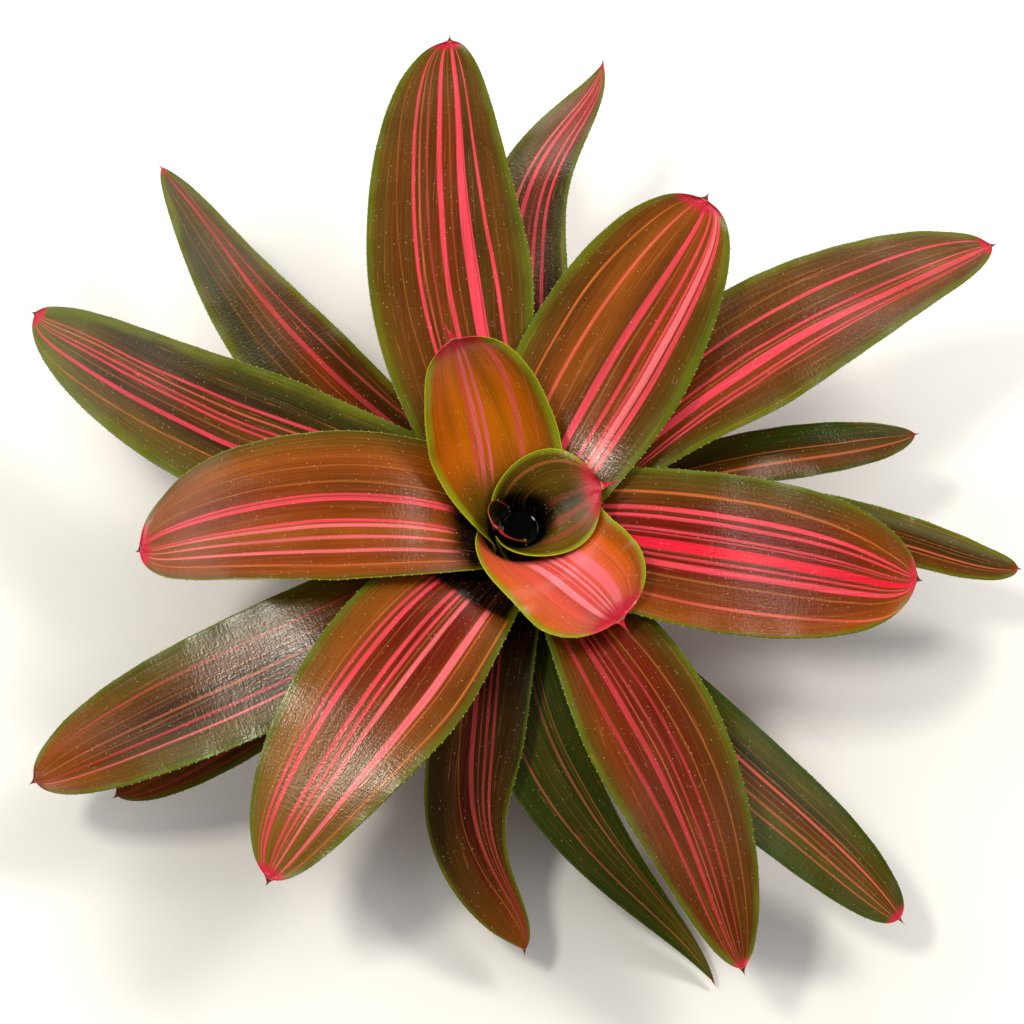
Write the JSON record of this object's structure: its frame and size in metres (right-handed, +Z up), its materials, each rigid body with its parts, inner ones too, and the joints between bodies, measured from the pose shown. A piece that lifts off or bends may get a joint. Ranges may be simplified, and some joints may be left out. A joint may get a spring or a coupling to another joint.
{
  "type": "kuhun peang neoregelia",
  "caption": "Tank bromeliad rosette of broad striped strap leaves with toothed margins round a water-filled cup, on a short cut stem.",
  "frame": {"origin": "middle of the flat cut under the stem", "axes": "+Z up the axis of the rosette; +X to the right and -Y toward the viewer of the picture, who looks down from about 65 degrees above the horizon"},
  "size_m": [0.5057, 0.4903, 0.1695],
  "materials": {
    "inner_leaf": "waxy orange and green leaf with pink stripes",
    "striped_leaf": "waxy brown-green leaf with pink stripes",
    "lower_leaf": "waxy dark olive leaf with dull pink stripes",
    "stem": "dry fibrous stem, cut flat",
    "water": "still dark water"
  },
  "bodies": {
    "root": {"leaf_01": "inner_leaf", "leaf_02": "inner_leaf", "leaf_03": "inner_leaf", "leaf_04": "inner_leaf", "leaf_05": "striped_leaf", "leaf_06": "striped_leaf", "leaf_07": "striped_leaf", "leaf_08": "striped_leaf", "leaf_09": "striped_leaf", "leaf_10": "striped_leaf", "leaf_11": "striped_leaf", "leaf_12": "striped_leaf", "leaf_13": "striped_leaf", "leaf_14": "lower_leaf", "leaf_15": "lower_leaf", "leaf_16": "lower_leaf", "leaf_17": "lower_leaf", "leaf_18": "lower_leaf", "leaf_19": "lower_leaf", "leaf_20": "lower_leaf", "leaf_21": "lower_leaf", "stem": "stem", "tank_water": "water"}
  },
  "joints": []
}
